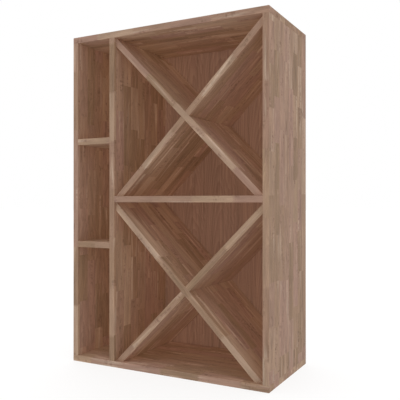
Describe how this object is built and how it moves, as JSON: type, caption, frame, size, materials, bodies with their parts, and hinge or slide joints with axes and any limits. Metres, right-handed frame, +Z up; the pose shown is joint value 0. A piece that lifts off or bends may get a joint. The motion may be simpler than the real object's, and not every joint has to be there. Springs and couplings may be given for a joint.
{
  "type": "wine rack",
  "caption": "Upright wooden wine rack: a narrow column of square-cornered cells beside stacked square bays, each crossed corner to corner by boards that halve together.",
  "frame": {"origin": "middle of the footprint, on the surface that the rack stands on", "axes": "+X to the rack's right as seen from its open front, +Y to its back, +Z up; the open front faces -Y"},
  "size_m": [0.647, 0.306, 1],
  "materials": {
    "laminated_hardwood": "oiled satin",
    "veneered_plywood": "satin",
    "beech_dowel": "matte"
  },
  "bodies": {
    "root": {"bottom_panel": "laminated_hardwood", "top_panel": "laminated_hardwood", "left_side": "laminated_hardwood", "right_side": "laminated_hardwood", "divider": "laminated_hardwood", "middle_shelf": "laminated_hardwood", "lower_column_shelf": "laminated_hardwood", "upper_column_shelf": "laminated_hardwood", "lower_bay_rising_board": "laminated_hardwood", "lower_bay_falling_board": "laminated_hardwood", "upper_bay_rising_board": "laminated_hardwood", "upper_bay_falling_board": "laminated_hardwood", "back_panel": "veneered_plywood", "dowel_left_side_foot_1": "beech_dowel", "dowel_left_side_foot_2": "beech_dowel", "dowel_left_side_foot_3": "beech_dowel", "dowel_left_side_head_1": "beech_dowel", "dowel_left_side_head_2": "beech_dowel", "dowel_left_side_head_3": "beech_dowel", "dowel_divider_foot_1": "beech_dowel", "dowel_divider_foot_2": "beech_dowel", "dowel_divider_foot_3": "beech_dowel", "dowel_divider_head_1": "beech_dowel", "dowel_divider_head_2": "beech_dowel", "dowel_divider_head_3": "beech_dowel", "dowel_right_side_foot_1": "beech_dowel", "dowel_right_side_foot_2": "beech_dowel", "dowel_right_side_foot_3": "beech_dowel", "dowel_right_side_head_1": "beech_dowel", "dowel_right_side_head_2": "beech_dowel", "dowel_right_side_head_3": "beech_dowel", "dowel_middle_shelf_left_1": "beech_dowel", "dowel_middle_shelf_left_2": "beech_dowel", "dowel_middle_shelf_left_3": "beech_dowel", "dowel_middle_shelf_right_1": "beech_dowel", "dowel_middle_shelf_right_2": "beech_dowel", "dowel_middle_shelf_right_3": "beech_dowel", "dowel_lower_column_shelf_left_1": "beech_dowel", "dowel_lower_column_shelf_left_2": "beech_dowel", "dowel_lower_column_shelf_right_1": "beech_dowel", "dowel_lower_column_shelf_right_2": "beech_dowel", "dowel_upper_column_shelf_left_1": "beech_dowel", "dowel_upper_column_shelf_left_2": "beech_dowel", "dowel_upper_column_shelf_right_1": "beech_dowel", "dowel_upper_column_shelf_right_2": "beech_dowel"}
  },
  "joints": []
}
